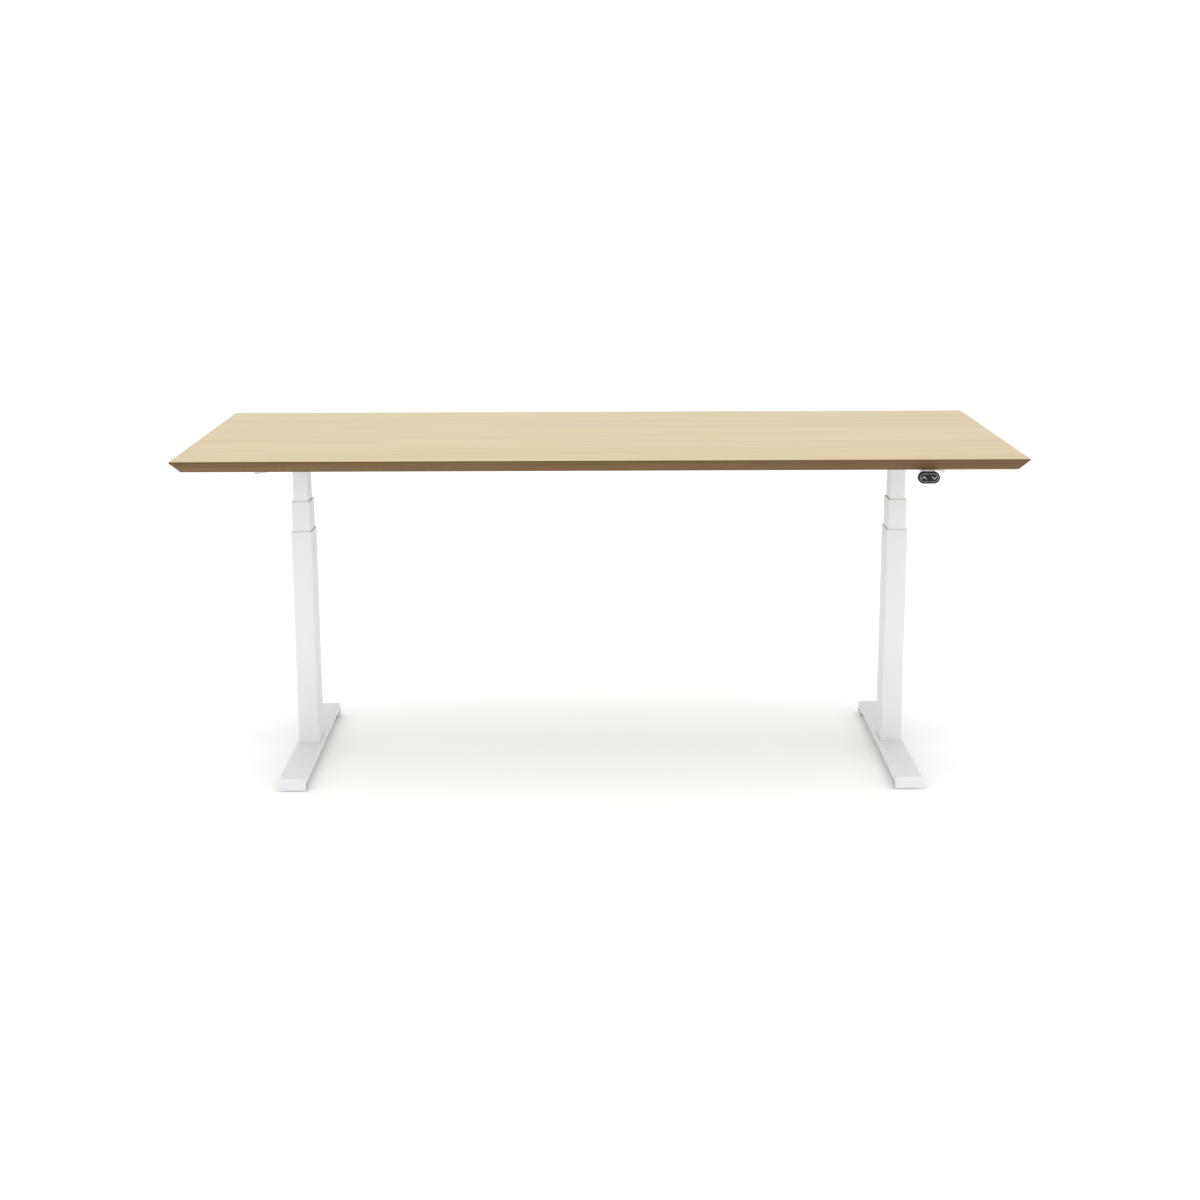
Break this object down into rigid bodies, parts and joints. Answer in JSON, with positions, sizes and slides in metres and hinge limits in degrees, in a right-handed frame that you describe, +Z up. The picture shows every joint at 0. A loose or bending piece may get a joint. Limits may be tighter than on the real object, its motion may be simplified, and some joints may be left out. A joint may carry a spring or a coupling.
{
  "type": "height adjustable standing desk",
  "caption": "Sit-stand desk: bevelled wooden worktop on two white telescopic columns with flat steel feet, a steel under-frame and a small up and down handset.",
  "frame": {"origin": "on the floor under the middle of the worktop", "axes": "+X along the worktop to the right as seen from the seat, +Y from the seat to the back edge, +Z up"},
  "size_m": [1.8, 0.8, 0.75],
  "materials": {
    "wood_veneer": "satin lacquer over fine straight grain",
    "stained_edge": "brown stained bevel",
    "white_steel": "white powder coat, fine satin",
    "zinc_steel": "zinc plated",
    "bright_steel": "machined and oiled",
    "bronze": "machined",
    "grey_plastic": "moulded, matt",
    "black_plastic": "moulded, fine grain",
    "button_plastic": "moulded, satin",
    "rubber": "matt",
    "circuit_board": "solder mask",
    "cast_aluminium": "as cast",
    "motor_steel": "black oxide"
  },
  "bodies": {
    "left_base": {"left_foot": "white_steel", "left_base_block": "bright_steel", "left_foot_bolts": "zinc_steel", "left_outer_tube": "white_steel", "left_outer_guide": "grey_plastic", "left_fixed_screw": "bright_steel"},
    "left_front_glide": {"left_front_glide": "black_plastic"},
    "left_rear_glide": {"left_rear_glide": "black_plastic"},
    "left_mid": {"left_mid_tube": "white_steel", "left_mid_shoe": "grey_plastic", "left_mid_guide": "grey_plastic", "left_bearing_block": "bright_steel"},
    "left_spindle": {"left_hollow_screw": "bright_steel"},
    "left_drive": {"left_drive_tube": "bright_steel", "left_worm_wheel": "bronze"},
    "left_worm": {"left_worm_shaft": "bright_steel"},
    "right_base": {"right_foot": "white_steel", "right_base_block": "bright_steel", "right_foot_bolts": "zinc_steel", "right_outer_tube": "white_steel", "right_outer_guide": "grey_plastic", "right_fixed_screw": "bright_steel"},
    "right_front_glide": {"right_front_glide": "black_plastic"},
    "right_rear_glide": {"right_rear_glide": "black_plastic"},
    "right_mid": {"right_mid_tube": "white_steel", "right_mid_shoe": "grey_plastic", "right_mid_guide": "grey_plastic", "right_bearing_block": "bright_steel"},
    "right_spindle": {"right_hollow_screw": "bright_steel"},
    "right_drive": {"right_drive_tube": "bright_steel", "right_worm_wheel": "bronze"},
    "right_worm": {"right_worm_shaft": "bright_steel"},
    "up_button": {"up_button": "button_plastic"},
    "down_button": {"down_button": "button_plastic"},
    "top": {"worktop_surface": "wood_veneer", "worktop_core": "stained_edge", "centre_rails": "white_steel", "left_end_rails": "white_steel", "right_end_rails": "white_steel", "rail_pads": "rubber", "left_side_bracket": "white_steel", "right_side_bracket": "white_steel", "left_head_bracket": "white_steel", "right_head_bracket": "white_steel", "frame_bolts": "zinc_steel", "worktop_screws": "zinc_steel", "control_box_base": "black_plastic", "control_box_cover": "black_plastic", "control_board": "circuit_board", "handset_shell": "black_plastic", "handset_bracket": "white_steel", "handset_board": "circuit_board", "left_inner_tube": "white_steel", "right_inner_tube": "white_steel", "inner_shoes": "grey_plastic", "lift_nuts": "bronze", "left_gearbox": "cast_aluminium", "right_gearbox": "cast_aluminium", "left_motor": "motor_steel", "right_motor": "motor_steel"}
  },
  "joints": [
    {"name": "left_lift", "type": "slide", "parent": "left_base", "child": "left_mid", "axis": [0, 0, 1], "range_m": [-0.06, 0.265]},
    {"name": "top_lift", "type": "slide", "parent": "left_mid", "child": "top", "axis": [0, 0, 1], "range_m": [-0.06, 0.265]},
    {"name": "right_mid_slide", "type": "slide", "parent": "top", "child": "right_mid", "axis": [0, 0, 1], "range_m": [-0.265, 0.06]},
    {"name": "right_base_slide", "type": "slide", "parent": "right_mid", "child": "right_base", "axis": [0, 0, 1], "range_m": [-0.265, 0.06]},
    {"name": "left_spindle_turn", "type": "hinge", "parent": "left_mid", "child": "left_spindle", "pos_m": [-0.682, 0, 0.3], "axis": [0, 0, 1], "range_deg": [-2700, 11925]},
    {"name": "left_drive_turn", "type": "hinge", "parent": "top", "child": "left_drive", "pos_m": [-0.682, 0, 0.5], "axis": [0, 0, 1], "range_deg": [-2700, 11925]},
    {"name": "left_worm_turn", "type": "hinge", "parent": "top", "child": "left_worm", "pos_m": [-0.682, 0.029, 0.697], "axis": [1, 0, 0], "range_deg": [-81000, 357750]},
    {"name": "left_front_glide_screw", "type": "slide", "parent": "left_base", "child": "left_front_glide", "axis": [0, 0, -1], "range_m": [0, 0.008]},
    {"name": "left_rear_glide_screw", "type": "slide", "parent": "left_base", "child": "left_rear_glide", "axis": [0, 0, -1], "range_m": [0, 0.008]},
    {"name": "right_spindle_turn", "type": "hinge", "parent": "right_mid", "child": "right_spindle", "pos_m": [0.682, 0, 0.3], "axis": [0, 0, 1], "range_deg": [-2700, 11925]},
    {"name": "right_drive_turn", "type": "hinge", "parent": "top", "child": "right_drive", "pos_m": [0.682, 0, 0.5], "axis": [0, 0, 1], "range_deg": [-2700, 11925]},
    {"name": "right_worm_turn", "type": "hinge", "parent": "top", "child": "right_worm", "pos_m": [0.682, 0.029, 0.697], "axis": [-1, 0, 0], "range_deg": [-81000, 357750]},
    {"name": "right_front_glide_screw", "type": "slide", "parent": "right_base", "child": "right_front_glide", "axis": [0, 0, -1], "range_m": [0, 0.008]},
    {"name": "right_rear_glide_screw", "type": "slide", "parent": "right_base", "child": "right_rear_glide", "axis": [0, 0, -1], "range_m": [0, 0.008]},
    {"name": "up_press", "type": "slide", "parent": "top", "child": "up_button", "axis": [0, 1, 0], "range_m": [0, 0.0008], "stiffness_N_per_m": 1500, "springref_m": -0.0006},
    {"name": "down_press", "type": "slide", "parent": "top", "child": "down_button", "axis": [0, 1, 0], "range_m": [0, 0.0008], "stiffness_N_per_m": 1500, "springref_m": -0.0006}
  ],
  "couplings": [
    {"joint": "top_lift", "follows": "left_lift", "ratio": 1},
    {"joint": "right_mid_slide", "follows": "left_lift", "ratio": -1},
    {"joint": "right_base_slide", "follows": "left_lift", "ratio": -1},
    {"joint": "left_spindle_turn", "follows": "left_lift", "rad_per_m": 785.4},
    {"joint": "left_drive_turn", "follows": "left_lift", "rad_per_m": 785.4},
    {"joint": "left_worm_turn", "follows": "left_lift", "rad_per_m": 23562},
    {"joint": "right_spindle_turn", "follows": "left_lift", "rad_per_m": 785.4},
    {"joint": "right_drive_turn", "follows": "left_lift", "rad_per_m": 785.4},
    {"joint": "right_worm_turn", "follows": "left_lift", "rad_per_m": 23562}
  ]
}
